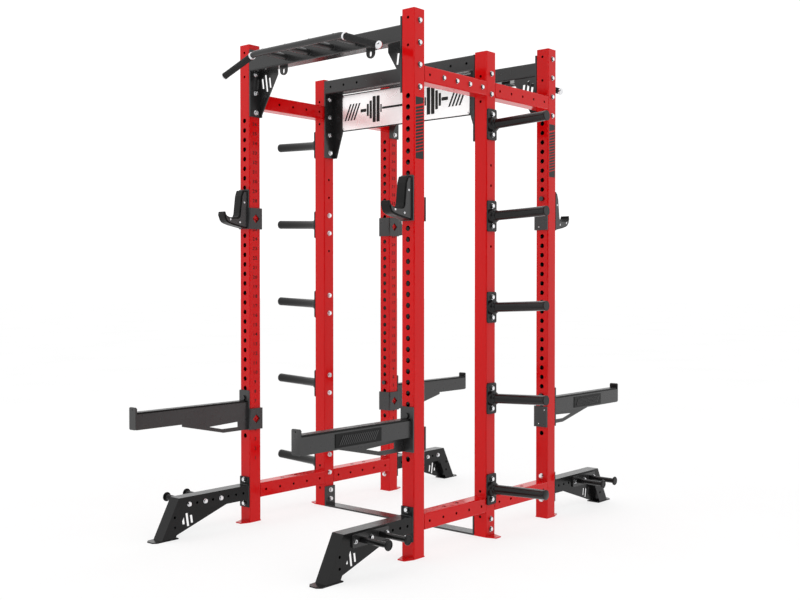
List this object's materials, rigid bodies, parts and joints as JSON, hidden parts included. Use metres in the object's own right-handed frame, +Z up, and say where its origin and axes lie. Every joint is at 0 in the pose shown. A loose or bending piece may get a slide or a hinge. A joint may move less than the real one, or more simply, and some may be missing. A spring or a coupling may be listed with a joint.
{
  "type": "power cage",
  "caption": "Six-upright steel training cage with pull-up bars, plate storage pegs, band-peg feet, bar hooks and spotter arms that pin into numbered holes.",
  "frame": {"origin": "on the floor, midway between the uprights in both directions", "axes": "+Z up, +X across the cage to its right, +Y from the front end, which has the front pull-up frame, to the rear end"},
  "size_m": [1.8832, 2.6138, 2.54],
  "materials": {
    "red_frame": "gloss powder coat",
    "black_frame": "semi-gloss powder coat",
    "bracket_steel": "satin powder coat",
    "black_pegs": "gloss powder coat",
    "black_plastic": "satin moulded plastic",
    "grip_rubber": "matt textured",
    "polished_trim": "polished",
    "sign_face": "polished sheet",
    "zinc": "bright zinc plate"
  },
  "bodies": {
    "root": {"upright_front_left": "red_frame", "upright_front_right": "red_frame", "upright_middle_left": "red_frame", "upright_middle_right": "red_frame", "upright_rear_left": "red_frame", "upright_rear_right": "red_frame", "upright_caps": "red_frame", "base_plates": "red_frame", "top_beam_front_left": "red_frame", "top_beam_front_right": "red_frame", "top_beam_rear_left": "red_frame", "top_beam_rear_right": "red_frame", "bottom_beam_front_left": "red_frame", "bottom_beam_front_right": "red_frame", "bottom_beam_rear_left": "red_frame", "bottom_beam_rear_right": "red_frame", "front_crossmember": "black_frame", "rear_crossmember": "black_frame", "middle_crossmember": "black_frame", "front_pull_up_frame": "black_frame", "rear_pull_up_frame": "black_frame", "pull_up_grips": "grip_rubber", "pull_up_collars": "polished_trim", "strap_lugs": "black_frame", "sign_backing": "black_frame", "sign_plate": "sign_face", "floor_bar": "black_frame", "foot_front_left": "black_frame", "foot_front_right": "black_frame", "foot_rear_left": "black_frame", "foot_rear_right": "black_frame", "band_peg_plates": "black_frame", "band_pegs": "black_pegs", "storage_peg_left_1": "black_pegs", "storage_peg_left_2": "black_pegs", "storage_peg_left_3": "black_pegs", "storage_peg_left_4": "black_pegs", "storage_peg_left_5": "black_pegs", "storage_peg_right_1": "black_pegs", "storage_peg_right_2": "black_pegs", "storage_peg_right_3": "black_pegs", "storage_peg_right_4": "black_pegs", "storage_peg_right_5": "black_pegs", "bolts": "zinc"},
    "bar_hook_front_left": {"hook_front_left": "bracket_steel", "hook_pad_front_left": "black_plastic"},
    "spotter_arm_front_left": {"arm_front_left": "bracket_steel", "arm_pads_front_left": "black_plastic"},
    "bar_hook_front_right": {"hook_front_right": "bracket_steel", "hook_pad_front_right": "black_plastic"},
    "spotter_arm_front_right": {"arm_front_right": "bracket_steel", "arm_pads_front_right": "black_plastic"},
    "bar_hook_rear_left": {"hook_rear_left": "bracket_steel", "hook_pad_rear_left": "black_plastic"},
    "spotter_arm_rear_left": {"arm_rear_left": "bracket_steel", "arm_pads_rear_left": "black_plastic"},
    "bar_hook_rear_right": {"hook_rear_right": "bracket_steel", "hook_pad_rear_right": "black_plastic"},
    "spotter_arm_rear_right": {"arm_rear_right": "bracket_steel", "arm_pads_rear_right": "black_plastic"}
  },
  "joints": [
    {"name": "hook_front_left_swing", "type": "hinge", "parent": "root", "child": "bar_hook_front_left", "pos_m": [-0.5715, -0.5588, 1.7328], "axis": [0, -1, 0], "range_deg": [0, 90]},
    {"name": "arm_front_left_swing", "type": "hinge", "parent": "root", "child": "spotter_arm_front_left", "pos_m": [-0.5715, -0.5588, 0.666], "axis": [0, -1, 0], "range_deg": [0, 90]},
    {"name": "hook_front_right_swing", "type": "hinge", "parent": "root", "child": "bar_hook_front_right", "pos_m": [0.5715, -0.5588, 1.7328], "axis": [0, 1, 0], "range_deg": [0, 90]},
    {"name": "arm_front_right_swing", "type": "hinge", "parent": "root", "child": "spotter_arm_front_right", "pos_m": [0.5715, -0.5588, 0.666], "axis": [0, 1, 0], "range_deg": [0, 90]},
    {"name": "hook_rear_left_swing", "type": "hinge", "parent": "root", "child": "bar_hook_rear_left", "pos_m": [-0.5715, 0.5588, 1.7328], "axis": [0, -1, 0], "range_deg": [0, 90]},
    {"name": "arm_rear_left_swing", "type": "hinge", "parent": "root", "child": "spotter_arm_rear_left", "pos_m": [-0.5715, 0.5588, 0.666], "axis": [0, -1, 0], "range_deg": [0, 90]},
    {"name": "hook_rear_right_swing", "type": "hinge", "parent": "root", "child": "bar_hook_rear_right", "pos_m": [0.5715, 0.5588, 1.7328], "axis": [0, 1, 0], "range_deg": [0, 90]},
    {"name": "arm_rear_right_swing", "type": "hinge", "parent": "root", "child": "spotter_arm_rear_right", "pos_m": [0.5715, 0.5588, 0.666], "axis": [0, 1, 0], "range_deg": [0, 90]}
  ]
}
